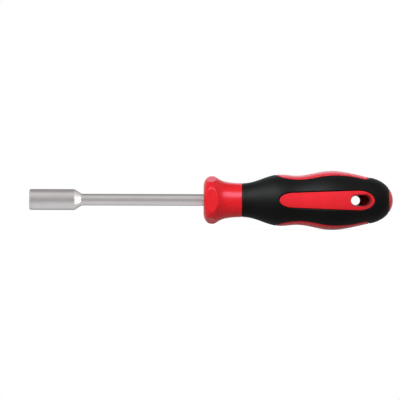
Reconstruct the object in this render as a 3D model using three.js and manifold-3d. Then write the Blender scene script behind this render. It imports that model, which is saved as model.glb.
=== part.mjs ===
// Nut driver: a forged steel blade in a handle that is moulded round it in three layers.
// Sizes are in millimetres and angles in degrees. The tool lies along X, with the socket towards -X
// and +Z up. Stations along X count from the handle's front face, apart from sizes of the socket,
// which count from its mouth, and sizes named FromEnd, which count from the handle's rear end.

import * as THREE from 'three';
import { ConvexGeometry } from 'three/addons/geometries/ConvexGeometry.js';
import { mergeVertices, toCreasedNormals } from 'three/addons/utils/BufferGeometryUtils.js';
import Module from 'manifold-3d';

// Socket
const nutAcrossFlats = 8;
const nutClearance = 0.1;
const hexDepth = 13;
const leadInLength = 0.9;
const boltBoreDiameter = 7.2;
const boltBoreDepth = 21;
const socketDiameter = 12.5;
const socketLength = 26.4;
const mouthRounding = 0.8;
const backRounding = 0.6;
const coneLength = 4;
const coneFootHeight = 0.3;
const coneFootLength = 2.2;

// Shank and tang
const shankDiameter = 7;
const bladeReach = 104.4;
const tangCover = 8;
const tangBevel = 1;
const wingCount = 2;
const wingLength = 10;
const wingSpan = 10.6;
const wingThickness = 2.6;
const wingSpacing = 16;
const wingFromTangEnd = 5;

// Outline of the handle
const handleLength = 113.6;
const collarFaceRadius = 8.7;
const collarRadius = 14.4;
const collarEdgeLength = 4.7;
const collarBackReach = 3.6;
const collarFootReach = 15;
const neckStation = 23;
const neckRadius = 10.3;
const swellStation = 46.1;
const swellRadius = 15.45;
const waistStation = 55.7;
const waistRadius = 14.8;
const bellyStation = 76.8;
const bellyRadius = 17.7;
const domeLength = 17.1;
const domeRadius = 14.05;
const domeStartAngle = 77;

// Flats of the collar: one in front, one behind and two on each side
const frontFlatDistance = 12.8;
const sideFlatDistance = 13.57;
const sideFlatAngle = 70.7;

// Hanging hole: round at the tool's middle, with a mouth on each face that slants to the rear
const holeFromEnd = 21.9;
const holeDiameter = 5.8;
const mouthDiameter = 7;
const mouthSlant = 24;
const holeEndRim = 2.2;
const holeSideRim = 2.5;

// Panels in front and behind
const panelTipStation = 45.2;
const panelTipLength = 10;
const panelTipSlope = 1;
const panelTipHalfWidth = 4.6;
const panelEndRounding = 9.6;

// Panels above and below
const sidePanelTipStation = 43.9;
const sidePanelTipLength = 7;
const sidePanelTipHalfWidth = 7.4;
const sidePanelMiddleStation = 74;
const sidePanelMiddleHalfWidth = 9.1;
const sidePanelEndHalfWidth = 6.4;
const sidePanelFromEnd = 14.4;
const sidePanelEndRounding = 2.5;

// Moulded layers
const layerGap = 0.3;
const gripWall = 2.2;
const gripEdgeDepth = 0.8;
const gripEdgeLength = 3;
const endDiscRadius = 6.9;
const coreStart = 14;
const coreCover = 4;
const coreConeMargin = 6;
const coreNeckWall = 1.5;
const coreBodyWall = 2;
const coreEndRounding = 3;
const ribCount = 4;
const ribHeight = 1.2;
const ribWidth = 3;

// Facets of the round faces and steps of the curves
const handleSides = 28;
const bladeSides = 32;
const coreSides = 28;
const holeSides = 24;
const curveSteps = 4;
const collarEdgeSteps = 3;

// How far a cutter runs past what it cuts, and the share of a swing that it stays level at each end
const overrun = 2;
const swingReach = 0.364;

// Sizes that follow from the ones above
const degree = Math.PI / 180;
const shankRadius = shankDiameter / 2;
const socketRadius = socketDiameter / 2;
const hexFlatRadius = (nutAcrossFlats + nutClearance) / 2;
const hexCornerRadius = hexFlatRadius / Math.cos(30 * degree);
const mouth = -bladeReach;
const holeStation = handleLength - holeFromEnd;
const holeEnd = holeStation + holeDiameter / 2 + domeRadius * Math.tan(mouthSlant * degree);
const panelEnd = holeEnd + holeEndRim;
const panelEndHalfWidth = mouthDiameter / 2 + holeSideRim;
const sidePanelEnd = handleLength - sidePanelFromEnd;
const coreEnd = holeStation - holeDiameter / 2 - coreCover;
const coreNeckRadius = neckRadius - gripWall - gripEdgeDepth - coreNeckWall - layerGap;
const coreRadius = waistRadius - gripWall - coreBodyWall - ribHeight - layerGap;
const coreConeStart = neckStation + coreConeMargin;
const coreConeEnd = swellStation - coreConeMargin;
const tangEnd = coreEnd - tangCover;
const clearRadius = Math.max(collarRadius, swellRadius, bellyRadius) + overrun;

const wasm = await Module();
wasm.setup();

// A closed geometry as a solid that can be joined and cut
function solid(geometry) {
  geometry.deleteAttribute('normal');
  geometry.deleteAttribute('uv');
  const merged = mergeVertices(geometry);
  const corners = merged.index.array;
  const triangles = [];
  for (let i = 0; i < corners.length; i += 3) {
    const [a, b, c] = corners.slice(i, i + 3);
    if (a !== b && b !== c && c !== a) {
      triangles.push(a, b, c);
    }
  }
  const vertProperties = merged.attributes.position.array;
  const triVerts = Uint32Array.from(triangles);
  return new wasm.Manifold(new wasm.Mesh({ numProp: 3, vertProperties, triVerts }));
}

function joined(solids) {
  return solids.reduce((sum, next) => sum.add(next));
}

// A path of stations and radii turned round the tool's axis
function turned(path, sides) {
  const outline = path.getPoints(curveSteps).map((point) => new THREE.Vector2(point.y, point.x));
  return solid(new THREE.LatheGeometry(outline, sides).rotateZ(-Math.PI / 2));
}

function cylinder(start, end, radius, sides) {
  const path = new THREE.Path();
  path.moveTo(start, 0);
  path.lineTo(start, radius);
  path.lineTo(end, radius);
  path.lineTo(end, 0);
  return turned(path, sides);
}

// A block along the tool between two heights above the axis, turned about the axis
function block(start, end, width, low, high, angle) {
  const box = new THREE.BoxGeometry(end - start, width, high - low);
  box.translate((start + end) / 2, 0, (low + high) / 2);
  return solid(box.rotateX(angle * degree));
}

// An outline of stations and widths, raised from the axis to one side of the handle
function raised(shape, angle) {
  const prism = new THREE.ExtrudeGeometry(shape, { depth: clearRadius, bevelEnabled: false });
  return solid(prism.rotateX(angle * degree));
}

// A closed outline from its one half, which starts and ends on the axis
function mirrored(half) {
  const points = half.getPoints(curveSteps);
  const others = points.slice(1, -1).reverse();
  return new THREE.Shape([...points, ...others.map((point) => new THREE.Vector2(point.x, -point.y))]);
}

function mesh(name, body, material) {
  const { vertProperties, triVerts } = body.getMesh();
  const geometry = new THREE.BufferGeometry();
  geometry.setAttribute('position', new THREE.BufferAttribute(vertProperties, 3));
  geometry.setIndex(new THREE.BufferAttribute(triVerts, 1));
  const part = new THREE.Mesh(toCreasedNormals(geometry, 30 * degree), material);
  part.name = name;
  return part;
}

// A swing from where a path stands to another station, level at both and close to a sine between
function swingTo(path, station, radius) {
  const from = path.currentPoint.clone();
  const reach = swingReach * (station - from.x);
  path.bezierCurveTo(from.x + reach, from.y, station - reach, radius, station, radius);
}

// The handle's outline behind the neck, drawn in by an inset
function addRearOutline(path, inset) {
  swingTo(path, swellStation, swellRadius - inset);
  swingTo(path, waistStation, waistRadius - inset);
  swingTo(path, bellyStation, bellyRadius - inset);
  const centre = handleLength - domeLength;
  const length = domeLength - inset;
  const radius = domeRadius - inset;
  const start = domeStartAngle * degree;
  const shoulderStation = centre + length * Math.cos(start);
  const shoulderRadius = radius * Math.sin(start);
  const slope = (radius * Math.cos(start)) / (length * Math.sin(start));
  const reach = (shoulderStation - bellyStation) / 3;
  path.bezierCurveTo(
    bellyStation + reach,
    bellyRadius - inset,
    shoulderStation - reach,
    shoulderRadius + slope * reach,
    shoulderStation,
    shoulderRadius,
  );
  path.absellipse(centre, 0, length, radius, start, 0, true);
}

function handleForm() {
  const path = new THREE.Path();
  path.moveTo(0, 0);
  path.lineTo(0, collarFaceRadius);
  const rise = collarRadius - collarFaceRadius;
  for (let i = 1; i <= collarEdgeSteps; i += 1) {
    const angle = (90 * i * degree) / collarEdgeSteps;
    path.lineTo(collarEdgeLength * (1 - Math.cos(angle)), collarFaceRadius + rise * Math.sin(angle));
  }
  path.bezierCurveTo(
    collarEdgeLength + collarBackReach,
    collarRadius,
    neckStation - collarFootReach,
    neckRadius,
    neckStation,
    neckRadius,
  );
  addRearOutline(path, 0);
  return turned(path, handleSides);
}

// What the grip sits on, with a deeper groove for its front edge
function gripSeat(gap) {
  const inset = gripWall - gap;
  const path = new THREE.Path();
  path.moveTo(neckStation, 0);
  path.lineTo(neckStation, neckRadius - inset);
  addRearOutline(path, inset);
  const grooveEnd = neckStation + gripEdgeLength - gap;
  const grooveFloor = neckRadius - inset - gripEdgeDepth;
  const groove = cylinder(neckStation - overrun, grooveEnd, clearRadius, handleSides)
    .subtract(cylinder(neckStation - overrun, grooveEnd, grooveFloor, handleSides));
  return turned(path, handleSides).subtract(groove);
}

function panelShape(gap) {
  const tip = panelTipStation - gap;
  const tipHalfWidth = panelTipHalfWidth + gap;
  const endHalfWidth = panelEndHalfWidth + gap;
  const rounding = panelEndRounding + gap;
  const half = new THREE.Path();
  half.moveTo(tip, 0);
  half.quadraticCurveTo(tip + panelTipSlope, tipHalfWidth, tip + panelTipLength, tipHalfWidth);
  half.lineTo(panelEnd - panelEndRounding, endHalfWidth);
  half.absellipse(panelEnd - panelEndRounding, 0, rounding, endHalfWidth, Math.PI / 2, 0, true);
  return mirrored(half);
}

function sidePanelShape(gap) {
  const tip = sidePanelTipStation - gap;
  const tipHalfWidth = sidePanelTipHalfWidth + gap;
  const endHalfWidth = sidePanelEndHalfWidth + gap;
  const rounding = sidePanelEndRounding + gap;
  const half = new THREE.Path();
  half.moveTo(tip, 0);
  half.quadraticCurveTo(tip, tipHalfWidth, tip + sidePanelTipLength, tipHalfWidth);
  swingTo(half, sidePanelMiddleStation, sidePanelMiddleHalfWidth + gap);
  swingTo(half, sidePanelEnd - sidePanelEndRounding, endHalfWidth);
  half.absellipse(sidePanelEnd - sidePanelEndRounding, 0, rounding, endHalfWidth, Math.PI / 2, 0, true);
  return mirrored(half);
}

// Everything in the handle's form that isn't grip, grown by a gap
function hardForm(gap) {
  return joined([
    gripSeat(gap),
    cylinder(-overrun, neckStation + gap, clearRadius, handleSides),
    cylinder(handleLength - domeLength, handleLength + overrun, endDiscRadius + gap, handleSides),
    raised(sidePanelShape(gap), 0),
    raised(panelShape(gap), 90),
    raised(sidePanelShape(gap), 180),
    raised(panelShape(gap), 270),
  ]);
}

// Half of the hanging hole, from the tool's middle out through one face
function holeHalf(side) {
  const depth = side * clearRadius;
  const shift = clearRadius * Math.tan(mouthSlant * degree);
  const points = [];
  for (let i = 0; i < holeSides; i += 1) {
    const angle = (i * 2 * Math.PI) / holeSides;
    const across = Math.cos(angle) / 2;
    const up = Math.sin(angle) / 2;
    points.push(new THREE.Vector3(holeStation + holeDiameter * across, 0, holeDiameter * up));
    points.push(new THREE.Vector3(holeStation + mouthDiameter * across, depth, mouthDiameter * up));
    points.push(new THREE.Vector3(holeStation + shift + mouthDiameter * across, depth, mouthDiameter * up));
  }
  return solid(new ConvexGeometry(points));
}

function collarFlats() {
  const cut = (distance, angle) => (
    block(-overrun, neckStation, 2 * clearRadius, distance, clearRadius, angle)
  );
  return joined([
    cut(frontFlatDistance, 90),
    cut(frontFlatDistance, 270),
    cut(sideFlatDistance, 90 - sideFlatAngle),
    cut(sideFlatDistance, 90 + sideFlatAngle),
    cut(sideFlatDistance, 270 - sideFlatAngle),
    cut(sideFlatDistance, 270 + sideFlatAngle),
  ]);
}

// Flattened wings of the tang, each set square to the one before it, grown by a gap
function tangWings(gap) {
  const wings = [];
  for (let i = 0; i < wingCount; i += 1) {
    const end = tangEnd - wingFromTangEnd - i * wingSpacing;
    const reach = wingSpan / 2 + gap;
    wings.push(block(end - wingLength - gap, end + gap, wingThickness + 2 * gap, -reach, reach, 90 * i));
  }
  return joined(wings);
}

function coreForm(gap) {
  const path = new THREE.Path();
  path.moveTo(coreStart - gap, 0);
  path.lineTo(coreStart - gap, coreNeckRadius + gap);
  path.lineTo(coreConeStart, coreNeckRadius + gap);
  path.lineTo(coreConeEnd, coreRadius + gap);
  path.lineTo(coreEnd - coreEndRounding, coreRadius + gap);
  path.quadraticCurveTo(coreEnd + gap, coreRadius + gap, coreEnd + gap, coreRadius - coreEndRounding);
  path.lineTo(coreEnd + gap, 0);
  const ribs = [];
  for (let i = 0; i < ribCount; i += 1) {
    const top = coreRadius + ribHeight + gap;
    const start = coreConeEnd - gap;
    const end = coreEnd - coreEndRounding + gap;
    ribs.push(block(start, end, ribWidth + 2 * gap, 0, top, (360 * i) / ribCount));
  }
  return joined([turned(path, coreSides), ...ribs]);
}

function blade() {
  const back = mouth + socketLength;
  const coneEnd = back + coneLength;
  const path = new THREE.Path();
  path.moveTo(mouth, 0);
  path.lineTo(mouth, socketRadius - mouthRounding);
  path.quadraticCurveTo(mouth, socketRadius, mouth + mouthRounding, socketRadius);
  path.lineTo(back - backRounding, socketRadius);
  path.quadraticCurveTo(back, socketRadius, back + backRounding, socketRadius - backRounding / 2);
  path.lineTo(coneEnd, shankRadius + coneFootHeight);
  path.quadraticCurveTo(coneEnd + coneFootHeight, shankRadius, coneEnd + coneFootLength, shankRadius);
  path.lineTo(tangEnd - tangBevel, shankRadius);
  path.lineTo(tangEnd, shankRadius - tangBevel);
  path.lineTo(tangEnd, 0);
  return joined([turned(path, bladeSides), tangWings(0)]).subtract(socketHollow());
}

// Hex recess with its round lead-in, and the clearance bore for the bolt's end behind it
function socketHollow() {
  const corners = [];
  for (let i = 0; i < 6; i += 1) {
    const angle = (30 + 60 * i) * degree;
    corners.push(new THREE.Vector2(hexCornerRadius * Math.cos(angle), hexCornerRadius * Math.sin(angle)));
  }
  const options = { depth: hexDepth + overrun, bevelEnabled: false };
  const hexagon = new THREE.ExtrudeGeometry(new THREE.Shape(corners), options);
  hexagon.rotateY(Math.PI / 2).translate(mouth - overrun, 0, 0);
  const leadIn = new THREE.Path();
  leadIn.moveTo(mouth - overrun, 0);
  leadIn.lineTo(mouth - overrun, hexCornerRadius);
  leadIn.lineTo(mouth, hexCornerRadius);
  leadIn.lineTo(mouth + leadInLength, hexFlatRadius);
  leadIn.lineTo(mouth + leadInLength, 0);
  return joined([
    solid(hexagon),
    turned(leadIn, bladeSides),
    cylinder(mouth, mouth + boltBoreDepth, boltBoreDiameter / 2, bladeSides),
  ]);
}

function tangCore() {
  const bore = cylinder(coreStart - overrun, tangEnd + layerGap, shankRadius + layerGap, bladeSides);
  return coreForm(0).subtract(bore).subtract(tangWings(layerGap));
}

function handleBody() {
  return handleForm()
    .intersect(hardForm(0))
    .subtract(collarFlats())
    .subtract(coreForm(layerGap))
    .subtract(cylinder(-overrun, coreStart, shankRadius + layerGap, bladeSides))
    .subtract(holeHalf(-1))
    .subtract(holeHalf(1));
}

function softGrip() {
  return handleForm().subtract(hardForm(layerGap));
}

const steel = new THREE.MeshStandardMaterial({ color: '#b4b1b0', roughness: 0.35, metalness: 1 });
const redPlastic = new THREE.MeshStandardMaterial({ color: '#d8242b', roughness: 0.4, metalness: 0 });
const blackRubber = new THREE.MeshStandardMaterial({ color: '#1d1f1c', roughness: 0.8, metalness: 0 });
const corePlastic = new THREE.MeshStandardMaterial({ color: '#3b3b3d', roughness: 0.5, metalness: 0 });

const nutDriver = new THREE.Group();
nutDriver.position.x = (bladeReach - handleLength) / 2;
nutDriver.add(
  mesh('blade', blade(), steel),
  mesh('tang_core', tangCore(), corePlastic),
  mesh('handle_body', handleBody(), redPlastic),
  mesh('soft_grip', softGrip(), blackRubber),
);

export default nutDriver;
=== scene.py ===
# Looks of the nut driver, built round its packed construction model.
# Lengths are in millimetres and stations count along the tool from the handle's front face.
# Angles round the tool count in radians from its front (-Y) up over its top (+Z).
# A place on the handle is a length along its outline and an angle. Shares are fractions of a whole.
import math

import bmesh
import bpy
import numpy as np
from mathutils import Matrix, Vector
from mathutils.geometry import delaunay_2d_cdt
from mathutils.kdtree import KDTree


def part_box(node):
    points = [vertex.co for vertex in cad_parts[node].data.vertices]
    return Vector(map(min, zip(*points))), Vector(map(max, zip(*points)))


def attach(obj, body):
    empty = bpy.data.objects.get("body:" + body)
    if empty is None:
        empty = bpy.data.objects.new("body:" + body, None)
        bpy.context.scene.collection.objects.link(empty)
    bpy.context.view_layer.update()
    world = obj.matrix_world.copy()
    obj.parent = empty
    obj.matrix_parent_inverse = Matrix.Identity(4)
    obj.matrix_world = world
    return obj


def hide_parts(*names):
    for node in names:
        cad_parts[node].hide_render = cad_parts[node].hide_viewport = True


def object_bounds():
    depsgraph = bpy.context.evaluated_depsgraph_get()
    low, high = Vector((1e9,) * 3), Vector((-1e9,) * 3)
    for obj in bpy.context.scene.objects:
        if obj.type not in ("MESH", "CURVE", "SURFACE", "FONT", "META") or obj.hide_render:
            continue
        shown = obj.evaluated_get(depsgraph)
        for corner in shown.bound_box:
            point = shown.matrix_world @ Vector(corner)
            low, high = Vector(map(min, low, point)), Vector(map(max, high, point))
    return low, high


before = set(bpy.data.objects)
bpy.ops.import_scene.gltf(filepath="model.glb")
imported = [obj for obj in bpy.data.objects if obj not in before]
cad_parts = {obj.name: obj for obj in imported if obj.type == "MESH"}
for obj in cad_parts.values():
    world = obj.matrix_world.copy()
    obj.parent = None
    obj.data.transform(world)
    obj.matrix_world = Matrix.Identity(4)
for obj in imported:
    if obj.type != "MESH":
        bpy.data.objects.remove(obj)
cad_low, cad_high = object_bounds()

MM = 0.001
TURN = 2 * math.pi
HALF_TURN = math.pi
QUARTER = math.pi / 2

# Places taken from the construction model
FRONT_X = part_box("handle_body")[0].x
HANDLE_LENGTH = (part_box("handle_body")[1].x - FRONT_X) / MM
MOUTH = (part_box("blade")[0].x - FRONT_X) / MM
TANG_END = (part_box("blade")[1].x - FRONT_X) / MM
SOCKET_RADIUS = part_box("blade")[1].z / MM
CORE_START = (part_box("tang_core")[0].x - FRONT_X) / MM
CORE_END = (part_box("tang_core")[1].x - FRONT_X) / MM
FLOOR_Z = cad_low.z

# Blade
HEX_FLAT_RADIUS = 4.05
HEX_HALF_SIDE = math.radians(30)
HEX_DEPTH = 13
LEAD_IN = 0.9
BORE_RADIUS = 3.6
BORE_DEPTH = 21
SOCKET_LENGTH = 26.8
MOUTH_ROUNDING = 1.1
BACK_ROUNDING = 0.6
CONE_LENGTH = 4
CONE_FOOT_HEIGHT = 0.3
CONE_FOOT_LENGTH = 2.2
SHANK_RADIUS = 3.5
TANG_BEVEL = 1
WING_LENGTH = 10
WING_HALF_SPAN = 5.3
WING_HALF_THICKNESS = 1.3
WING_SPACING = 16
WING_FROM_END = 5

# Outline of the handle
COLLAR_FACE_RADIUS = 7.9
COLLAR_RADIUS = 14.4
COLLAR_EDGE = 4.7
COLLAR_BACK_REACH = 5.2
COLLAR_FOOT_REACH = 17
NECK = (23.7, 10.19)
GRIP_START = 23
SWELL = (46.1, 15.45)
WAIST = (55.7, 14.8)
BELLY = (76.8, 17.7)
DOME_LENGTH = 17.1
DOME_RADIUS = 14.05
DOME_START = math.radians(77)
SWING_REACH = 0.364

# Flats of the collar, as angle and distance from the axis
FRONT_FLAT = 12.55
SIDE_FLAT = 13.4
SIDE_FLAT_ANGLE = math.radians(69)
FLAT_LEAN = math.tan(math.radians(5))
FLAT_EDGE_ROUNDING = 0.3
FLATS = [
    (0, FRONT_FLAT),
    (SIDE_FLAT_ANGLE, SIDE_FLAT),
    (HALF_TURN - SIDE_FLAT_ANGLE, SIDE_FLAT),
    (HALF_TURN, FRONT_FLAT),
    (HALF_TURN + SIDE_FLAT_ANGLE, SIDE_FLAT),
    (TURN - SIDE_FLAT_ANGLE, SIDE_FLAT),
]

# Panels and end disc
PANEL_TIP = 45.2
PANEL_TIP_LENGTH = 10
PANEL_TIP_SLANT = 1
PANEL_TIP_HALF_WIDTH = 4.6
PANEL_END = 102.2
PANEL_END_HALF_WIDTH = 6.0
PANEL_END_ROUNDING = 9.6
SIDE_TIP = 43.9
SIDE_TIP_LENGTH = 7
SIDE_TIP_HALF_WIDTH = 7.4
SIDE_MIDDLE = 74
SIDE_MIDDLE_HALF_WIDTH = 9.1
SIDE_END = 99.2
SIDE_END_HALF_WIDTH = 6.4
SIDE_END_ROUNDING = 2.5
DISC_RADIUS = 6.9
TEXTURED_FACING = 0.7

# Hanging hole; its rim is softest at the rear, where the wall slants away
HOLE = 91.2
THROAT_RADIUS = 2.65
HOLE_MOUTH_RADIUS = 3.5
HOLE_SLANT = math.tan(math.radians(19.5))
HOLE_REACH = 19.7
HOLE_BEND = 3.5
HOLE_LIP = 0.35
HOLE_LIP_SIDES = 0.35
HOLE_LIP_REAR = 2.2
HOLE_LIP_FADE = 1.5

# Layers of the handle
GAP = 0.3
EDGE_GAP = 0.06
GRIP_WALL = 2.2
PANEL_LIP = 0.4
GRIP_LIP = 0.5
END_LIP = 0.25

# Core inside the handle
CORE_NECK_RADIUS = 5.5
CORE_RADIUS = 9.1
CORE_CONE = (29, 40.1)
CORE_ROUNDING = 3
RIB_HEIGHT = 1.2
RIB_HALF_WIDTH = 1.5

# Fineness of the meshes
SIDES = 240
BLADE_SIDES = 96
SEAM = math.radians(45)
MESH_STEP = 1.0
COLLAR_MESH_STEP = 0.5
PANEL_STEP = 0.4
FLAT_STEP = 0.3
FINE_STEP = 0.1
FINE_POINTS = 4000
FLAT_POINTS = 60
EDGE_STEPS = 28
FLARE_STEPS = 60
SWING_STEPS = 40
DOME_STEPS = 60
TIP_STEPS = 30
PANEL_SIDE_POINTS = 60
PANEL_END_STEPS = 40
HOLE_POINTS = 72
HOLE_ARC_STEPS = 40
HOLE_HALVINGS = 40
HOLE_RINGS = 16
FACE_RINGS = 5
DISC_RINGS = 14
DISC_TIP_GAP = 0.2
POCKET_STEPS = 8
LEAD_IN_RINGS = 7
ROUNDING_STEPS = 10
BARREL_RINGS = 20
BACK_STEPS = 8
CONE_RINGS = 6
SHANK_RINGS = 60
EDGE_SHARES = (0.0, 0.08, 0.3, 0.62, 1.0)
LIP_SHARES = EDGE_SHARES[1:] + (1.7,)
FLAT_RIMS = (-0.5, -0.22, 0.22, 0.5)
FEWEST_ROUND = 24
CLEAR_SHARE = 0.45
UNROLLED_RADIUS = 15
DELAUNAY_LIMIT = 1e-6
SAME_ANGLE = 1e-5
SAME_PLACE = 1e-7
TINY = 1e-6
LEAST_FACING = 0.3
NO_FLAT = 1e3
HARD_EDGE = math.radians(35)
RUBBER_EDGE = math.radians(45)

# Lamps
LAMP_COLOUR = (0.93, 0.95, 1.0)
SKY_COLOUR = (0.58, 0.68, 1.0)
CONE_COLOUR = (1.0, 0.98, 0.96)

# Room as it is mirrored, and the share of it that lights matt surfaces
ROOM_LIGHT = 0.1
ROOM_FRONT = 0.46
ROOM_SIDE = 0.76
ROOM_BACK_GAIN = 0.23
ROOM_FRONT_RANGE = (-1, -0.85)
ROOM_BACK_RANGE = (-0.85, -0.2)
DARK_CEILING = (0, 0.3, 0.954)
DARK_CEILING_RANGE = (0.84, 0.94)
DARK_CEILING_SHARE = 0.45

# Floor in metres, its glow for the camera, and how bright it is mirrored in front and near the tool
FLOOR_HALF_WIDTH = 1.2
FLOOR_CELLS = 12
FLOOR_GLOW = 0.75
FLOOR_FRONT = 0.16
FLOOR_NEAR = 0.5
FLOOR_RANGE = (-0.06, -0.015)

# Camera, in metres and degrees
CAMERA_LENS = 330
CAMERA_SENSOR = 36
CAMERA_REACH = 100
CAMERA_PLACE = (-0.0067, -2.2, 0)
CAMERA_ROLL = -0.19

# Range in which most of a noise texture's values lie
NOISE_RANGE = (0.3, 0.7)


def cubic(a, b, c, d, steps):
    t = np.linspace(0, 1, steps + 1)[:, None]
    a, b, c, d = (np.array(point, float) for point in (a, b, c, d))
    return (1 - t) ** 3 * a + 3 * (1 - t) ** 2 * t * b + 3 * (1 - t) * t ** 2 * c + t ** 3 * d


def quadratic(a, b, c, steps):
    t = np.linspace(0, 1, steps + 1)[:, None]
    a, b, c = (np.array(point, float) for point in (a, b, c))
    return (1 - t) ** 2 * a + 2 * (1 - t) * t * b + t ** 2 * c


def swing(start, end):
    """A rise or fall from one station to another that is level at both."""
    reach = SWING_REACH * (end[0] - start[0])
    return cubic(start, (start[0] + reach, start[1]), (end[0] - reach, end[1]), end, SWING_STEPS)


def arc(centre, across, up, first, last, steps):
    angle = np.linspace(first, last, steps + 1)
    return np.column_stack((centre[0] + across * np.cos(angle), centre[1] + up * np.sin(angle)))


def chained(*runs):
    """Runs of points end to end, each without the first point where it meets the one before."""
    return np.vstack([runs[0]] + [run[1:] for run in runs[1:]])


def handle_outline():
    """Stations and radii of the handle, from its front face to its tip."""
    rise = COLLAR_RADIUS - COLLAR_FACE_RADIUS
    crest = (COLLAR_EDGE, COLLAR_RADIUS)
    flare_start = (crest[0] + COLLAR_BACK_REACH, crest[1])
    flare_end = (NECK[0] - COLLAR_FOOT_REACH, NECK[1])
    dome_centre = HANDLE_LENGTH - DOME_LENGTH
    shoulder = (dome_centre + DOME_LENGTH * math.cos(DOME_START), DOME_RADIUS * math.sin(DOME_START))
    slope = DOME_RADIUS / DOME_LENGTH / math.tan(DOME_START)
    reach = (shoulder[0] - BELLY[0]) / 3
    fall_start = (BELLY[0] + reach, BELLY[1])
    fall_end = (shoulder[0] - reach, shoulder[1] + slope * reach)
    return chained(
        arc((COLLAR_EDGE, COLLAR_FACE_RADIUS), COLLAR_EDGE, rise, HALF_TURN, QUARTER, EDGE_STEPS),
        cubic(crest, flare_start, flare_end, NECK, FLARE_STEPS),
        swing(NECK, SWELL),
        swing(SWELL, WAIST),
        swing(WAIST, BELLY),
        cubic(BELLY, fall_start, fall_end, shoulder, SWING_STEPS),
        arc((dome_centre, 0), DOME_LENGTH, DOME_RADIUS, DOME_START, 0, DOME_STEPS),
    )


OUTLINE = handle_outline()
STEPS = np.hypot(*np.diff(OUTLINE, axis=0).T)
ALONG = np.concatenate(([0], np.cumsum(STEPS)))
SLOPES = np.gradient(OUTLINE, ALONG, axis=0)
NORMALS = np.column_stack((-SLOPES[:, 1], SLOPES[:, 0]))
NORMALS /= np.hypot(*NORMALS.T)[:, None]


def along_at(station):
    return np.interp(station, OUTLINE[:, 0], ALONG)


def along_dome(radius):
    """Where the dome has a radius."""
    return np.interp(-radius, -OUTLINE[-DOME_STEPS:, 1], ALONG[-DOME_STEPS:])


def station_at(along):
    return np.interp(along, ALONG, OUTLINE[:, 0])


def radius_at(along):
    return np.interp(along, ALONG, OUTLINE[:, 1])


def spun(station, radius, angle):
    """Points in metres from stations, radii and angles."""
    station, radius, angle = np.broadcast_arrays(station, radius, angle)
    across = -radius * np.cos(angle) * MM
    up = radius * np.sin(angle) * MM
    return np.column_stack((FRONT_X + station * MM, across, up))


def placed(along, angle, depth=0.0):
    """Points in metres at a depth under the handle's outline, square to it."""
    station = station_at(along) - depth * np.interp(along, ALONG, NORMALS[:, 0])
    radius = radius_at(along) - depth * np.interp(along, ALONG, NORMALS[:, 1])
    return spun(station, radius, angle)


def round_angles(count):
    return SEAM + np.arange(count) * TURN / count


def lip(distance, radius):
    """How far a rounded edge falls, at a distance from the edge."""
    rest = np.clip(1 - distance / radius, 0, 1)
    return radius * (1 - np.sqrt(1 - rest ** 2))


class Shape:
    """Points and faces of one piece as they are gathered."""

    def __init__(self):
        self.points = []
        self.faces = []
        # Marks: which places are textured panels, and how much painted shade darkens a place's colour in and
        # round the hanging hole.
        self.marks = {"textured": [], "deep": []}

    def add(self, points, textured=0.0, deep=0.0):
        start = len(self.points)
        self.points.extend(map(tuple, points))
        self.marks["textured"].extend(np.broadcast_to(textured, len(points)).tolist())
        self.marks["deep"].extend(np.broadcast_to(deep, len(points)).tolist())
        return list(range(start, len(self.points)))

    def join(self, first, second):
        """A closed band of faces between two rings of as many points."""
        count = len(first)
        for i in range(count):
            k = (i + 1) % count
            self.faces.append((first[i], first[k], second[k], second[i]))

    def join_all(self, rings):
        for first, second in zip(rings, rings[1:]):
            self.join(first, second)

    def cap(self, ring, station):
        """A fan of faces from a ring to a point on the axis."""
        centre = self.add([(FRONT_X + station * MM, 0, 0)])[0]
        for i in range(len(ring)):
            self.faces.append((ring[i], ring[(i + 1) % len(ring)], centre))

    def piece(self, name, node, slot, sharp):
        """The finished mesh, which takes the place of a node of the construction model."""
        mesh = bpy.data.meshes.new(name)
        mesh.from_pydata(self.points, [], self.faces)
        for mark, values in self.marks.items():
            mesh.attributes.new(mark, "FLOAT", "POINT").data.foreach_set("value", values)
        work = bmesh.new()
        work.from_mesh(mesh)
        loose = [point for point in work.verts if not point.link_faces]
        bmesh.ops.delete(work, geom=loose, context="VERTS")
        bmesh.ops.remove_doubles(work, verts=work.verts, dist=SAME_PLACE)
        bmesh.ops.recalc_face_normals(work, faces=work.faces)
        work.to_mesh(mesh)
        work.free()
        mesh.shade_smooth()
        mesh.set_sharp_from_angle(angle=sharp)
        piece = bpy.data.objects.new(name, mesh)
        bpy.context.scene.collection.objects.link(piece)
        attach(piece, "root")
        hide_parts(node)
        return piece


def tube(shape, rings, count):
    """Rings joined in turn; a ring is a station and a radius, or a radius for each angle."""
    angles = round_angles(count)
    made = []
    for station, radius in rings:
        values = radius(angles) if callable(radius) else radius
        made.append(shape.add(spun(station, values, angles)))
    shape.join_all(made)
    return made


def resampled(loop, step):
    """A closed loop of places with points at an even step."""
    closed = np.vstack((loop, loop[:1]))
    walked = np.linalg.norm(np.diff(placed(*closed.T), axis=0), axis=1) / MM
    total = np.concatenate(([0], np.cumsum(walked)))
    count = int(round(total[-1] / step))
    marks = np.arange(count) * total[-1] / count
    return np.column_stack([np.interp(marks, total, column) for column in closed.T])


def shifted(loop, distance):
    """A closed loop moved to its outside by a distance, which can differ from point to point."""
    radius = radius_at(loop[:, 0])
    before = np.roll(loop, 1, axis=0)
    after = np.roll(loop, -1, axis=0)
    step = after - before
    run = np.column_stack((step[:, 0], step[:, 1] * radius))
    run /= np.hypot(*run.T)[:, None]
    side = np.sign(np.sum(before[:, 0] * loop[:, 1] - loop[:, 0] * before[:, 1]))
    outward = np.column_stack((run[:, 1], -run[:, 0] / radius)) * side
    return loop + outward * np.reshape(distance, (-1, 1))


def mirrored_loop(along, centre, angle):
    """A closed loop from its one half: the same places at an angle to both sides of a centre."""
    upper = np.column_stack((along, centre + angle))
    lower = np.column_stack((along, centre - angle))[-2:0:-1]
    return np.vstack((upper, lower))


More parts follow.
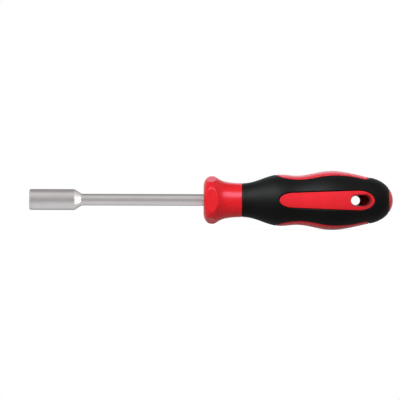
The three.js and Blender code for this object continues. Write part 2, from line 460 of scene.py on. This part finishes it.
def inside(points, loop):
    """Whether each point lies in a loop, by counting crossings."""
    result = np.zeros(len(points), bool)
    ends = np.roll(loop, -1, axis=0)
    for (x0, y0), (x1, y1) in zip(loop, ends):
        if y0 == y1:
            continue
        crosses = (y0 > points[:, 1]) != (y1 > points[:, 1])
        at = x0 + (points[:, 1] - y0) * (x1 - x0) / (y1 - y0)
        result ^= crosses & (points[:, 0] < at)
    return result


def front_half():
    """Stations and half widths of the front panel, from its tip to its end."""
    level = (PANEL_TIP + PANEL_TIP_LENGTH, PANEL_TIP_HALF_WIDTH)
    end = (PANEL_END - PANEL_END_ROUNDING, PANEL_END_HALF_WIDTH)
    corner = (PANEL_TIP + PANEL_TIP_SLANT, PANEL_TIP_HALF_WIDTH)
    tip = quadratic((PANEL_TIP, 0), corner, level, TIP_STEPS)
    side = np.linspace(level, end, PANEL_SIDE_POINTS)
    rounding = arc((end[0], 0), PANEL_END_ROUNDING, end[1], QUARTER, 0, PANEL_END_STEPS)
    return chained(tip, side, rounding)


def side_half():
    """Stations and half widths of a side panel, from its tip to its end."""
    level = (SIDE_TIP + SIDE_TIP_LENGTH, SIDE_TIP_HALF_WIDTH)
    middle = (SIDE_MIDDLE, SIDE_MIDDLE_HALF_WIDTH)
    end = (SIDE_END - SIDE_END_ROUNDING, SIDE_END_HALF_WIDTH)
    tip = quadratic((SIDE_TIP, 0), (SIDE_TIP, SIDE_TIP_HALF_WIDTH), level, TIP_STEPS)
    rounding = arc((end[0], 0), SIDE_END_ROUNDING, end[1], QUARTER, 0, TIP_STEPS)
    return chained(tip, swing(level, middle), swing(middle, end), rounding)


def panel_loop(half, centre):
    """The closed edge of a panel on the handle, from its one half of stations and widths."""
    along = along_at(half[:, 0])
    angle = np.arcsin(np.clip(half[:, 1] / radius_at(along), 0, 1))
    return resampled(mirrored_loop(along, centre, angle), PANEL_STEP)


PANELS = [panel_loop(side_half() if turn % 2 else front_half(), turn * QUARTER) for turn in range(4)]


def hole_lines():
    """Points on the round throat of the hanging hole, the hole's front rim, and angles round it."""
    shift = HOLE_SLANT * HOLE_REACH
    right = arc((shift, 0), HOLE_MOUTH_RADIUS, HOLE_MOUTH_RADIUS, 0, QUARTER, HOLE_ARC_STEPS)
    left = arc((0, 0), HOLE_MOUTH_RADIUS, HOLE_MOUTH_RADIUS, QUARTER, HALF_TURN, HOLE_ARC_STEPS)
    half = np.vstack((right, left))
    rim = np.vstack((half, half[-2:0:-1] * (1, -1), half[:1]))
    walked = np.concatenate(([0], np.cumsum(np.hypot(*np.diff(rim, axis=0).T))))
    marks = np.arange(HOLE_POINTS) / HOLE_POINTS
    mouth = np.column_stack([np.interp(marks * walked[-1], walked, column) for column in rim.T])
    turn = marks * TURN
    throat = np.column_stack((np.cos(turn), np.sin(turn))) * THROAT_RADIUS

    # Where lines from the throat to the mouth leave the handle, by halving
    low = np.zeros(HOLE_POINTS)
    high = np.ones(HOLE_POINTS)
    for _ in range(HOLE_HALVINGS):
        share = (low + high) / 2
        point = throat + (mouth - throat) * share[:, None]
        out = np.hypot(share * HOLE_REACH, point[:, 1])
        beyond = out > radius_at(along_at(HOLE + point[:, 0]))
        high = np.where(beyond, share, high)
        low = np.where(beyond, low, share)
    angle = np.arctan2(point[:, 1], share * HOLE_REACH)
    return throat, np.column_stack((along_at(HOLE + point[:, 0]), angle)), turn


def place_tree(places):
    """A search tree over places on the handle."""
    tree = KDTree(len(places))
    for i, point in enumerate(placed(*places.T)):
        tree.insert(point, i)
    tree.balance()
    return tree


def mesh_domain(first, last, loops, step=MESH_STEP):
    """Triangles over the unrolled handle between two places, with given loops among their edges.

    The result is the places, the triangles, each loop's points among them, and the loops in the domain.
    """
    angles = SEAM + np.arange(SIDES + 1) * TURN / SIDES
    rows = np.linspace(first, last, int(round((last - first) / step)) + 1)
    points = []
    edges = []

    def run(path, closed):
        start = len(points)
        points.extend(map(tuple, path))
        count = len(path)
        edges.extend((start + i, start + i + 1) for i in range(count - 1))
        if closed:
            edges.append((start + count - 1, start))
        return list(range(start, start + count))

    for end in (first, last):
        run(np.column_stack((np.full(SIDES + 1, end), angles)), False)
    for angle in (angles[0], angles[-1]):
        run(np.column_stack((rows, np.full(len(rows), angle))), False)
    wrapped = [np.column_stack((loop[:, 0], SEAM + (loop[:, 1] - SEAM) % TURN)) for loop in loops]
    loop_points = [run(loop, True) for loop in wrapped]
    tree = place_tree(np.array(points))
    for i, row in enumerate(rows[1:-1]):
        count = max(FEWEST_ROUND, int(TURN * radius_at(row) / step))
        ring = SEAM + (np.arange(count) + 0.5 * (i % 2)) * TURN / count
        free = np.column_stack((np.full(count, row), ring))
        for place, point in zip(free, placed(*free.T)):
            if tree.find(point)[2] > CLEAR_SHARE * step * MM:
                points.append(tuple(place))
    flat = [Vector((along, angle * UNROLLED_RADIUS)) for along, angle in points]
    made = delaunay_2d_cdt(flat, edges, [], 0, DELAUNAY_LIMIT, True)
    places = np.array([(point[0], point[1] / UNROLLED_RADIUS) for point in made[0]])
    found = {old: new for new, sources in enumerate(made[3]) for old in sources}
    return places, np.array(made[2]), [[found[i] for i in loop] for loop in loop_points], wrapped


def borders(triangles, regions):
    """Edges where the region changes or the domain ends, each with the two regions beside it."""
    sides = {}
    for corners, region in zip(triangles.tolist(), regions.tolist()):
        for a, b in zip(corners, corners[1:] + corners[:1]):
            sides.setdefault((min(a, b), max(a, b)), []).append((a, b, region))
    result = []
    for users in sides.values():
        if len(users) == 1:
            result.append((*users[0], None))
        elif users[0][2] != users[1][2]:
            result.append((*users[0], users[1][2]))
    return result


def distance_to(loops, places):
    """How far places lie from the nearest loop, and which loop point that is."""
    tree = place_tree(np.vstack(loops))
    found = [tree.find(point) for point in placed(*places.T)]
    return np.array([item[2] for item in found]) / MM, np.array([item[1] for item in found])


def make_grip():
    """The soft sleeve: an outer and an inner skin with four windows, joined along all their edges."""
    windows = [shifted(loop, GAP) for loop in PANELS]
    first = along_at(GRIP_START + EDGE_GAP)
    last = along_dome(DISC_RADIUS + GAP)
    rims = [shifted(window, share * GRIP_LIP) for window in windows for share in LIP_SHARES]
    places, triangles, _, wrapped = mesh_domain(first, last, windows + rims)
    middles = places[triangles].mean(axis=1)
    regions = np.zeros(len(triangles), int)
    for window in wrapped[:len(windows)]:
        regions[inside(middles, window)] = 1
    far, _ = distance_to([resampled(window, FINE_STEP) for window in windows], places)
    depth = lip(far, GRIP_LIP) + lip(places[:, 0] - first, END_LIP) + lip(last - places[:, 0], END_LIP)
    shape = Shape()
    outer = shape.add(placed(places[:, 0], places[:, 1], depth))
    inner = shape.add(placed(places[:, 0], places[:, 1], GRIP_WALL - GAP))
    for (a, b, c), region in zip(triangles.tolist(), regions.tolist()):
        if region == 0:
            shape.faces.append((outer[a], outer[b], outer[c]))
            shape.faces.append((inner[c], inner[b], inner[a]))
    for a, b, _, other in borders(triangles, regions):
        on_seam = other is None and abs(places[a, 1] - places[b, 1]) < SAME_ANGLE
        if not on_seam:
            shape.faces.append((outer[a], outer[b], inner[b], inner[a]))
    return shape.piece("black_grip", "soft_grip", "black_rubber", RUBBER_EDGE)


def flat_depth(distance, station):
    """How far a flat lies from the axis: the flats lean in a little to the front."""
    return distance + FLAT_LEAN * (station - COLLAR_EDGE)


def flatted(station, radius, angle):
    """Radii of the collar cut to its flats, with softened edges."""
    limit = np.full(len(angle), NO_FLAT)
    for centre, distance in FLATS:
        facing = np.cos(angle - centre)
        reach = flat_depth(distance, station) / np.maximum(facing, LEAST_FACING)
        limit = np.minimum(limit, np.where(facing > LEAST_FACING, reach, NO_FLAT))
    share = np.clip(0.5 + 0.5 * (limit - radius) / FLAT_EDGE_ROUNDING, 0, 1)
    return limit * (1 - share) + radius * share - FLAT_EDGE_ROUNDING * share * (1 - share)


def flat_loop(centre, distance):
    """The closed edge of one of the collar's flats on the handle's outline."""
    along = ALONG[ALONG < along_at(GRIP_START)]
    fine = np.linspace(along[0], along[-1], FINE_POINTS)
    over = fine[radius_at(fine) > flat_depth(distance, station_at(fine))]
    reach = np.sin(np.linspace(-QUARTER, QUARTER, FLAT_POINTS)) / 2 + 0.5
    places = over[0] + (over[-1] - over[0]) * reach
    depth = flat_depth(distance, station_at(places))
    angle = np.arccos(np.clip(depth / radius_at(places), 0, 1))
    return resampled(mirrored_loop(places, centre, angle), FLAT_STEP)


def add_collar(shape):
    """Collar and neck, from the shank's bore over the front face to the grip's edge."""
    face = np.linspace(SHANK_RADIUS + GAP, COLLAR_FACE_RADIUS, FACE_RINGS)
    tube(shape, [(0, radius) for radius in face], SIDES)
    last = along_at(GRIP_START - END_LIP)
    loops = [flat_loop(*flat) for flat in FLATS]
    rims = [shifted(loop, distance) for loop in loops for distance in FLAT_RIMS]
    places, triangles, _, _ = mesh_domain(0.0, last, loops + rims, COLLAR_MESH_STEP)
    station = station_at(places[:, 0])
    radius = flatted(station, radius_at(places[:, 0]), places[:, 1])
    made = shape.add(spun(station, radius, places[:, 1]))
    for a, b, c in triangles.tolist():
        shape.faces.append((made[a], made[b], made[c]))
    rings = []
    for share in reversed(EDGE_SHARES):
        place = GRIP_START - share * END_LIP
        rings.append((place, radius_at(along_at(place)) - float(lip(share * END_LIP, END_LIP))))
    made = tube(shape, rings, SIDES)
    seat = shape.add(placed(along_at(GRIP_START), round_angles(SIDES), GRIP_WALL))
    shape.join(made[-1], seat)


def sunk(rim, throat, share):
    """Points a share of the way down the hole's wall, which drops from the rim and bends to the throat."""
    across = share ** HOLE_BEND
    return rim + (throat - rim) * (across, share, across)


def add_hole_wall(shape, front, back, throat):
    """The hanging hole's wall, from the front rim through the throat to the back rim."""
    starts = np.array([shape.points[i] for i in front])
    ends = np.array([shape.points[i] for i in back])
    middle = np.column_stack((FRONT_X + (HOLE + throat[:, 0]) * MM, np.zeros(HOLE_POINTS), throat[:, 1] * MM))
    rings = [front]
    # Every point of the wall carries the full painted shade, which darkens the red there.
    for share in np.linspace(0, 1, HOLE_RINGS + 1)[1:]:
        rings.append(shape.add(sunk(starts, middle, share), deep=1.0))
    for share in np.linspace(1, 0, HOLE_RINGS + 1)[1:-1]:
        rings.append(shape.add(sunk(ends, middle, share), deep=1.0))
    shape.join_all(rings + [back])


def add_disc(shape, start):
    """The end disc, from the seat over its edge to the tip."""
    angles = round_angles(SIDES)
    rings = [shape.add(placed(start, angles, GRIP_WALL))]
    for share in EDGE_SHARES:
        rings.append(shape.add(placed(start + share * END_LIP, angles, lip(share * END_LIP, END_LIP))))
    for along in np.linspace(start + 2 * END_LIP, ALONG[-1] - DISC_TIP_GAP, DISC_RINGS):
        rings.append(shape.add(placed(along, angles)))
    shape.join_all(rings)
    shape.cap(rings[-1], HANDLE_LENGTH)


def ribbed(radius):
    """A ring of the pocket: a circle with room for the core's four ribs."""
    def ring(angle):
        off = (angle + QUARTER / 2) % QUARTER - QUARTER / 2
        top = (CORE_RADIUS + RIB_HEIGHT + GAP) / np.cos(off)
        side = (RIB_HALF_WIDTH + GAP) / np.maximum(np.abs(np.sin(off)), TINY)
        return np.maximum(radius, np.minimum(top, side))
    return ring


def add_pocket(shape):
    """The pocket round the shank and the core."""
    bore = SHANK_RADIUS + GAP
    neck = CORE_NECK_RADIUS + GAP
    body = CORE_RADIUS + GAP
    core_start = CORE_START - GAP
    cone_start, cone_end = CORE_CONE
    rib_start = cone_end - GAP
    rib_end = CORE_END - CORE_ROUNDING + GAP
    end = CORE_END + GAP
    cone = neck + (body - neck) * (rib_start - cone_start) / (cone_end - cone_start)
    rings = [(0, bore), (core_start, bore), (core_start, neck), (cone_start, neck)]
    rings += [(rib_start, cone), (rib_start, ribbed(cone)), (cone_end, ribbed(body))]
    rings += [(rib_end, ribbed(body)), (rib_end, body)]
    rounding = quadratic((rib_end, body), (end, body), (end, CORE_RADIUS - CORE_ROUNDING), POCKET_STEPS)
    rings += [tuple(point) for point in rounding[1:]]
    made = tube(shape, rings, SIDES)
    shape.cap(made[-1], end)


def make_body():
    """The hard body: panels that stand out of the grip's seat, with collar, hole, end disc and pocket."""
    shape = Shape()
    throat, front, turn = hole_lines()
    rear = np.clip(np.cos(turn), 0, 1) ** HOLE_LIP_FADE
    rim_lip = HOLE_LIP + HOLE_LIP_REAR * rear + HOLE_LIP_SIDES * np.abs(np.sin(turn))
    holes = [front, np.column_stack((front[:, 0], HALF_TURN - front[:, 1]))]
    first = along_at(GRIP_START)
    last = along_dome(DISC_RADIUS)
    rims = [shifted(panel, -share * PANEL_LIP) for panel in PANELS for share in LIP_SHARES]
    rims += [shifted(hole, share * rim_lip) for hole in holes for share in EDGE_SHARES[1:]]
    places, triangles, loops, wrapped = mesh_domain(first, last, holes + PANELS + rims)

    # Regions: 0 under the grip, -1 in a hole, and a number for each panel
    middles = places[triangles].mean(axis=1)
    regions = np.zeros(len(triangles), int)
    panels_end = len(holes) + len(PANELS)
    for number, panel in enumerate(wrapped[len(holes):panels_end]):
        regions[inside(middles, panel)] = number + 1
    for hole in wrapped[:len(holes)]:
        regions[inside(middles, hole)] = -1

    edge, _ = distance_to([resampled(panel, FINE_STEP) for panel in PANELS], places)
    rim, nearest = distance_to(holes, places)
    reach = np.tile(rim_lip, len(holes))[nearest]
    fall = lip(edge, PANEL_LIP) + lip(rim, reach)
    textured = np.where(np.abs(np.cos(places[:, 1])) > TEXTURED_FACING, 1.0, 0.0)
    # Painted shade: the red is darkened over the hole's rounded rim, most at the hole's edge and widest at
    # the rear.
    deep = np.clip(1 - rim / reach, 0, 1)
    top = shape.add(placed(places[:, 0], places[:, 1], fall), textured, deep)
    seat = shape.add(placed(places[:, 0], places[:, 1], GRIP_WALL))
    for (a, b, c), region in zip(triangles.tolist(), regions.tolist()):
        level = seat if region == 0 else top
        if region >= 0:
            shape.faces.append((level[a], level[b], level[c]))
    for a, b, one, other in borders(triangles, regions):
        if other is not None and 0 in (one, other):
            shape.faces.append((top[a], top[b], seat[b], seat[a]))
    add_hole_wall(shape, [top[i] for i in loops[0]], [top[i] for i in loops[1]], throat)
    add_collar(shape)
    add_disc(shape, last)
    add_pocket(shape)
    return shape.piece("red_body", "handle_body", "red_plastic", HARD_EDGE)


def hexed(radius):
    """A ring of the recess: the hexagon, or a circle where that is larger."""
    def ring(angle):
        off = (angle - QUARTER + HEX_HALF_SIDE) % (2 * HEX_HALF_SIDE) - HEX_HALF_SIDE
        return np.maximum(radius, HEX_FLAT_RADIUS / np.cos(off))
    return ring


def winged(quarter):
    """A ring of the tang with a flat wing across it, upright or turned by a quarter."""
    def ring(angle):
        turned = angle + quarter * QUARTER
        flat = WING_HALF_THICKNESS / np.maximum(np.abs(np.cos(turned)), TINY)
        end = WING_HALF_SPAN / np.maximum(np.abs(np.sin(turned)), TINY)
        return np.maximum(SHANK_RADIUS, np.minimum(flat, end))
    return ring


def make_blade():
    """Socket with its recess and bore, cone, shank and winged tang, as one tube from bore to tang."""
    shape = Shape()
    corner = HEX_FLAT_RADIUS / math.cos(HEX_HALF_SIDE)
    back = MOUTH + SOCKET_LENGTH
    foot = back + CONE_LENGTH
    floor = MOUTH + HEX_DEPTH
    rings = [(MOUTH + BORE_DEPTH, BORE_RADIUS), (floor, BORE_RADIUS), (floor, hexed(0))]
    for share in np.linspace(1, 0, LEAD_IN_RINGS):
        rings.append((MOUTH + LEAD_IN * share, hexed(corner + (HEX_FLAT_RADIUS - corner) * share)))
    rim_start = (MOUTH, SOCKET_RADIUS - MOUTH_ROUNDING)
    rim_end = (MOUTH + MOUTH_ROUNDING, SOCKET_RADIUS)
    rim = quadratic(rim_start, (MOUTH, SOCKET_RADIUS), rim_end, ROUNDING_STEPS)
    barrel = np.linspace(rim_end, (back - BACK_ROUNDING, SOCKET_RADIUS), BARREL_RINGS)
    edge_end = (back + BACK_ROUNDING, SOCKET_RADIUS - BACK_ROUNDING / 2)
    edge = quadratic(barrel[-1], (back, SOCKET_RADIUS), edge_end, BACK_STEPS)
    cone = np.linspace(edge_end, (foot, SHANK_RADIUS + CONE_FOOT_HEIGHT), CONE_RINGS)
    fillet_middle = (foot + CONE_FOOT_HEIGHT, SHANK_RADIUS)
    fillet_end = (foot + CONE_FOOT_LENGTH, SHANK_RADIUS)
    fillet = quadratic(cone[-1], fillet_middle, fillet_end, ROUNDING_STEPS)
    wings = []
    for number in (1, 0):
        end = TANG_END - WING_FROM_END - number * WING_SPACING
        start = end - WING_LENGTH
        wings += [(start, SHANK_RADIUS), (start, winged(number)), (end, winged(number)), (end, SHANK_RADIUS)]
    shank = np.linspace(fillet_end, wings[0], SHANK_RINGS)
    rings += [tuple(point) for point in chained(rim, barrel, edge, cone, fillet, shank)[:-1]]
    rings += wings
    rings += [(TANG_END - TANG_BEVEL, SHANK_RADIUS), (TANG_END, SHANK_RADIUS - TANG_BEVEL)]
    made = tube(shape, rings, BLADE_SIDES)
    shape.cap(made[0], MOUTH + BORE_DEPTH)
    shape.cap(made[-1], TANG_END)
    return shape.piece("steel_blade", "blade", "steel", HARD_EDGE)


def material(name):
    made = bpy.data.materials.new(name)
    made.use_nodes = True
    shader = made.node_tree.nodes["Principled BSDF"]
    return made, made.node_tree, shader


def noise(tree, scale, detail, stretch=(1, 1, 1)):
    """Noise in the object's own space, at a scale in cells a metre."""
    place = tree.nodes.new("ShaderNodeTexCoord")
    mapping = tree.nodes.new("ShaderNodeMapping")
    mapping.inputs["Scale"].default_value = stretch
    made = tree.nodes.new("ShaderNodeTexNoise")
    made.inputs["Scale"].default_value = scale
    made.inputs["Detail"].default_value = detail
    tree.links.new(place.outputs["Object"], mapping.inputs["Vector"])
    tree.links.new(mapping.outputs["Vector"], made.inputs["Vector"])
    return made.outputs["Fac"]


def ramp(tree, value, low, high):
    """A colour between two over the range of a noise."""
    made = tree.nodes.new("ShaderNodeValToRGB")
    for element, position, colour in zip(made.color_ramp.elements, NOISE_RANGE, (low, high)):
        element.position = position
        element.color = (*colour, 1)
    tree.links.new(value, made.inputs["Fac"])
    return made.outputs["Color"]


def sloped(tree, value, source, target):
    """A value moved from one range to another, and kept inside it."""
    made = tree.nodes.new("ShaderNodeMapRange")
    made.inputs["From Min"].default_value = source[0]
    made.inputs["From Max"].default_value = source[1]
    made.inputs["To Min"].default_value = target[0]
    made.inputs["To Max"].default_value = target[1]
    tree.links.new(value, made.inputs["Value"])
    return made.outputs["Result"]


def reckoned(tree, operation, one, other):
    """A sum, product or maximum of a value and a second value or number."""
    made = tree.nodes.new("ShaderNodeMath")
    made.operation = operation
    tree.links.new(one, made.inputs[0])
    if hasattr(other, "is_output"):
        tree.links.new(other, made.inputs[1])
    else:
        made.inputs[1].default_value = other
    return made.outputs[0]


def added(tree, one, other):
    return reckoned(tree, "ADD", one, other)


def scaled(tree, one, other):
    return reckoned(tree, "MULTIPLY", one, other)


def larger(tree, one, other):
    return reckoned(tree, "MAXIMUM", one, other)


def marked(tree, name):
    """The value of a mark that the mesh carries."""
    made = tree.nodes.new("ShaderNodeAttribute")
    made.attribute_name = name
    return made.outputs["Fac"]


def bumped(tree, shader, height, distance):
    """A bump with its full depth in millimetres."""
    made = tree.nodes.new("ShaderNodeBump")
    made.inputs["Strength"].default_value = 1.0
    made.inputs["Distance"].default_value = distance * MM
    tree.links.new(height, made.inputs["Height"])
    tree.links.new(made.outputs["Normal"], shader.inputs["Normal"])


def steel():
    made, tree, shader = material("satin_steel")
    shader.inputs["Metallic"].default_value = 1.0
    shader.inputs["Specular Tint"].default_value = (0.1, 0.1, 0.1, 1)
    cloud = noise(tree, scale=180, detail=3)
    grain = noise(tree, scale=5200, detail=3)
    turned = noise(tree, scale=900, detail=4, stretch=(9, 0.4, 0.4))
    colour = ramp(tree, cloud, low=(0.64, 0.61, 0.603), high=(0.68, 0.648, 0.641))
    tree.links.new(colour, shader.inputs["Base Color"])
    mixed = added(tree, scaled(tree, grain, 0.5), scaled(tree, turned, 0.5))
    roughness = sloped(tree, mixed, source=NOISE_RANGE, target=(0.32, 0.4))
    tree.links.new(roughness, shader.inputs["Roughness"])
    height = added(tree, scaled(tree, grain, 0.6), scaled(tree, turned, 0.4))
    bumped(tree, shader, height, distance=0.006)
    return made


def red_plastic():
    """Semi-gloss plastic, sanded on the textured panels, with painted shade: a darker red mixed into the
    colour inside the hanging hole and over the hole's rounded rim.
    """
    made, tree, shader = material("red_plastic")
    shader.inputs["Specular IOR Level"].default_value = 0.15
    cloud = noise(tree, scale=120, detail=3)
    peel = noise(tree, scale=700, detail=2)
    sand = noise(tree, scale=3000, detail=3)
    textured = marked(tree, "textured")
    # Painted shade: by the mark, a darker red takes the place of the red in and round the hanging hole.
    painted_shade_mix = tree.nodes.new("ShaderNodeMix")
    painted_shade_mix.data_type = "RGBA"
    unshaded_red = ramp(tree, cloud, low=(0.70, 0.012, 0.017), high=(0.76, 0.015, 0.021))
    painted_shade_red = ramp(tree, sand, low=(0.10, 0.004, 0.004), high=(0.16, 0.006, 0.006))
    depth = sloped(tree, marked(tree, "deep"), source=(0.1, 0.9), target=(0, 1))
    tree.links.new(depth, painted_shade_mix.inputs["Factor"])
    tree.links.new(unshaded_red, painted_shade_mix.inputs["A"])
    tree.links.new(painted_shade_red, painted_shade_mix.inputs["B"])
    tree.links.new(painted_shade_mix.outputs["Result"], shader.inputs["Base Color"])
    smooth = sloped(tree, peel, source=NOISE_RANGE, target=(0.24, 0.32))
    roughness = added(tree, smooth, scaled(tree, textured, 0.52))
    tree.links.new(roughness, shader.inputs["Roughness"])
    height = added(tree, scaled(tree, sand, textured), scaled(tree, peel, 0.1))
    bumped(tree, shader, height, distance=0.02)
    return made


def black_rubber():
    made, tree, shader = material("black_rubber")
    shader.inputs["Specular IOR Level"].default_value = 0.06
    cloud = noise(tree, scale=150, detail=3)
    grain = noise(tree, scale=2600, detail=3)
    colour = ramp(tree, cloud, low=(0.0022, 0.0026, 0.002), high=(0.0034, 0.0038, 0.003))
    tree.links.new(colour, shader.inputs["Base Color"])
    roughness = sloped(tree, grain, source=NOISE_RANGE, target=(0.50, 0.60))
    tree.links.new(roughness, shader.inputs["Roughness"])
    bumped(tree, shader, grain, distance=0.02)
    return made


def core_plastic():
    made, tree, shader = material("core_plastic")
    cloud = noise(tree, scale=200, detail=3)
    peel = noise(tree, scale=900, detail=3)
    colour = ramp(tree, cloud, low=(0.04, 0.04, 0.043), high=(0.055, 0.055, 0.06))
    tree.links.new(colour, shader.inputs["Base Color"])
    roughness = sloped(tree, peel, source=NOISE_RANGE, target=(0.42, 0.55))
    tree.links.new(roughness, shader.inputs["Roughness"])
    bumped(tree, shader, peel, distance=0.02)
    return made


def dressed(piece, look):
    piece.data.materials.clear()
    piece.data.materials.append(look)


def camera_rays(tree):
    return tree.nodes.new("ShaderNodeLightPath").outputs["Is Camera Ray"]


def background_rays(tree):
    """One for rays that show the background: the camera's, or those off a glossy or clear surface."""
    path = tree.nodes.new("ShaderNodeLightPath")
    shown = larger(tree, path.outputs["Is Camera Ray"], path.outputs["Is Glossy Ray"])
    return larger(tree, shown, path.outputs["Is Transmission Ray"])


def backward(tree, place):
    """How far a place or direction lies to the back of the tool."""
    parts = tree.nodes.new("ShaderNodeSeparateXYZ")
    tree.links.new(place, parts.inputs["Vector"])
    return parts.outputs["Y"]


def pale_floor():
    """A floor that the camera sees white, and that the tool mirrors darker to the front."""
    made, tree, shader = material("pale_floor")
    shader.inputs["Roughness"].default_value = 0.9
    shader.inputs["Specular IOR Level"].default_value = 0.0
    shader.inputs["Emission Color"].default_value = (1, 1, 1, 1)
    cloud = noise(tree, scale=30, detail=2)
    colour = ramp(tree, cloud, low=(0.45, 0.45, 0.45), high=(0.47, 0.47, 0.47))
    tree.links.new(colour, shader.inputs["Base Color"])
    place = tree.nodes.new("ShaderNodeNewGeometry").outputs["Position"]
    level = sloped(tree, backward(tree, place), FLOOR_RANGE, (FLOOR_FRONT, FLOOR_NEAR))
    mirrored = scaled(tree, background_rays(tree), level)
    seen = scaled(tree, camera_rays(tree), FLOOR_GLOW)
    tree.links.new(larger(tree, mirrored, seen), shader.inputs["Emission Strength"])
    return made


def lay_floor():
    mesh = bpy.data.meshes.new("floor")
    work = bmesh.new()
    ground = Matrix.Translation((0, 0, FLOOR_Z))
    bmesh.ops.create_grid(
        work, x_segments=FLOOR_CELLS, y_segments=FLOOR_CELLS, size=FLOOR_HALF_WIDTH, matrix=ground)
    work.to_mesh(mesh)
    work.free()
    floor = bpy.data.objects.new("floor", mesh)
    bpy.context.scene.collection.objects.link(floor)
    dressed(floor, pale_floor())


def paint_room():
    """A white backdrop for the camera, and a room that is mirrored greyer in front and overhead."""
    world = bpy.data.worlds.new("studio")
    bpy.context.scene.world = world
    world.use_nodes = True
    tree = world.node_tree
    shader = tree.nodes["Background"]
    shader.inputs["Color"].default_value = (1, 1, 1, 1)
    direction = tree.nodes.new("ShaderNodeTexCoord").outputs["Generated"]
    depth = backward(tree, direction)
    front = sloped(tree, depth, ROOM_FRONT_RANGE, (ROOM_FRONT, ROOM_SIDE))
    level = added(tree, front, sloped(tree, depth, ROOM_BACK_RANGE, (0, ROOM_BACK_GAIN)))
    facing = tree.nodes.new("ShaderNodeVectorMath")
    facing.operation = "DOT_PRODUCT"
    facing.inputs[1].default_value = DARK_CEILING
    tree.links.new(direction, facing.inputs[0])
    ceiling = sloped(tree, facing.outputs["Value"], DARK_CEILING_RANGE, (1.0, DARK_CEILING_SHARE))
    shown = larger(tree, scaled(tree, level, ceiling), camera_rays(tree))
    strength = sloped(tree, background_rays(tree), (0, 1), (ROOM_LIGHT, 1.0))
    tree.links.new(scaled(tree, shown, strength), shader.inputs["Strength"])


def sun_lamp(name, strength, degrees):
    lamp = bpy.data.lights.new(name, "SUN")
    lamp.energy = strength
    lamp.angle = math.radians(degrees)
    return lamp


def panel_lamp(name, strength, width, height):
    lamp = bpy.data.lights.new(name, "AREA")
    lamp.shape = "RECTANGLE"
    lamp.size = width
    lamp.size_y = height
    lamp.energy = strength
    return lamp


def add_lamp(lamp, source, colour=LAMP_COLOUR, mirrored=(), through_floor=False):
    """A lamp that looks at the tool from a place in metres.

    It lights everything and is mirrored by nothing, or it is only mirrored, by the pieces that are named.
    A lamp below the floor can be mirrored through it.
    """
    lamp.color = colour
    made = bpy.data.objects.new(lamp.name, lamp)
    made.location = source
    made.rotation_euler = Vector(source).to_track_quat("Z", "Y").to_euler()
    made.visible_glossy = bool(mirrored)
    made.visible_diffuse = not mirrored
    bpy.context.scene.collection.objects.link(made)
    if mirrored:
        reached = bpy.data.collections.new("reached_by_" + lamp.name)
        for piece in mirrored:
            reached.objects.link(piece)
        made.light_linking.receiver_collection = reached
        if through_floor:
            made.light_linking.blocker_collection = reached
            lamp.cycles.use_multiple_importance_sampling = False


def hang_lamps(blade, body, grip):
    """Three soft suns that light the tool, and lamps for the highlights on its pieces."""
    add_lamp(sun_lamp("key", strength=3.3, degrees=45), source=(-0.3, -0.80, 0.52))
    add_lamp(sun_lamp("fill", strength=0.4, degrees=30), source=(0.1, -0.95, 0.28))
    add_lamp(sun_lamp("back", strength=2.2, degrees=40), source=(0.35, 0.92, 0.10))
    strip = panel_lamp("strip", strength=37, width=1.4, height=0.55)
    add_lamp(strip, source=(0, -0.788, 0.616), colour=SKY_COLOUR, mirrored=[body])
    sheen = panel_lamp("sheen", strength=43, width=1.0, height=0.55)
    add_lamp(sheen, source=(-0.40, -0.69, 0.60), mirrored=[grip])
    side = panel_lamp("side", strength=3.8, width=0.5, height=1.5)
    add_lamp(side, source=(0.9, -0.43, -0.03), colour=CONE_COLOUR, mirrored=[blade], through_floor=True)
    rear = sun_lamp("rear", strength=0.28, degrees=25)
    add_lamp(rear, source=(0, 0.80, 0.60), colour=SKY_COLOUR, mirrored=[body, grip])


def set_camera():
    lens = bpy.data.cameras.new("camera")
    lens.lens = CAMERA_LENS
    lens.sensor_width = CAMERA_SENSOR
    lens.clip_end = CAMERA_REACH
    camera = bpy.data.objects.new("camera", lens)
    camera.location = CAMERA_PLACE
    camera.rotation_euler = (QUARTER, math.radians(CAMERA_ROLL), 0)
    bpy.context.scene.collection.objects.link(camera)
    bpy.context.scene.camera = camera


blade = make_blade()
body = make_body()
grip = make_grip()
dressed(blade, steel())
dressed(body, red_plastic())
dressed(grip, black_rubber())
dressed(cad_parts["tang_core"], core_plastic())
lay_floor()
paint_room()
hang_lamps(blade, body, grip)
set_camera()
bpy.context.scene.view_settings.view_transform = "Standard"
